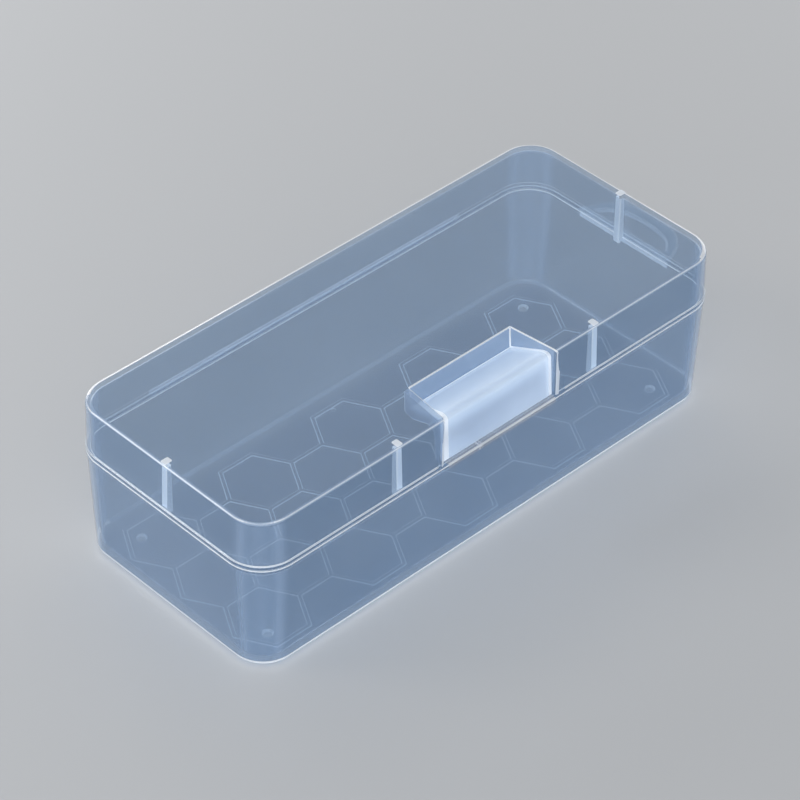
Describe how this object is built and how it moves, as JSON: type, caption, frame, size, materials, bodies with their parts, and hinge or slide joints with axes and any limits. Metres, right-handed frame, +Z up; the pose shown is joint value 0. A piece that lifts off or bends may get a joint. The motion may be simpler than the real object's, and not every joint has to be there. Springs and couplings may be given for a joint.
{
  "type": "plastic storage box",
  "caption": "Long translucent storage box with a film-hinged lid, a fold-over latch flap in a front pocket and a slotted hang tab.",
  "frame": {"origin": "middle of the flat underside of the tub's floor; the four feet reach 0.8 mm below it", "axes": "+X along the box towards the end with the hang tab, +Y towards the lid's hinge, so the latch faces -Y, +Z up"},
  "size_m": [0.1931, 0.0794, 0.0526],
  "materials": {
    "clear_wall": "smooth, clear natural polypropylene, slightly hazy",
    "milky_flap": "smooth, milky natural polypropylene",
    "hinge_film": "thin flexed natural polypropylene"
  },
  "bodies": {
    "base": {"base_tub": "clear_wall", "lid_hinge_film": "hinge_film", "latch_hinge_film": "hinge_film"},
    "lid": {"lid_shell": "clear_wall"},
    "latch": {"latch_flap": "milky_flap"}
  },
  "joints": [
    {"name": "lid_hinge", "type": "hinge", "parent": "base", "child": "lid", "pos_m": [0, 0.0394, 0.03555], "axis": [-1, 0, 0], "range_deg": [0, 180], "deforming": ["lid_hinge_film", "latch_flap"]},
    {"name": "latch_hinge", "type": "hinge", "parent": "base", "child": "latch", "pos_m": [0, -0.0386, 0.0356], "axis": [1, 0, 0], "range_deg": [0, 170], "deforming": ["latch_hinge_film"]}
  ]
}
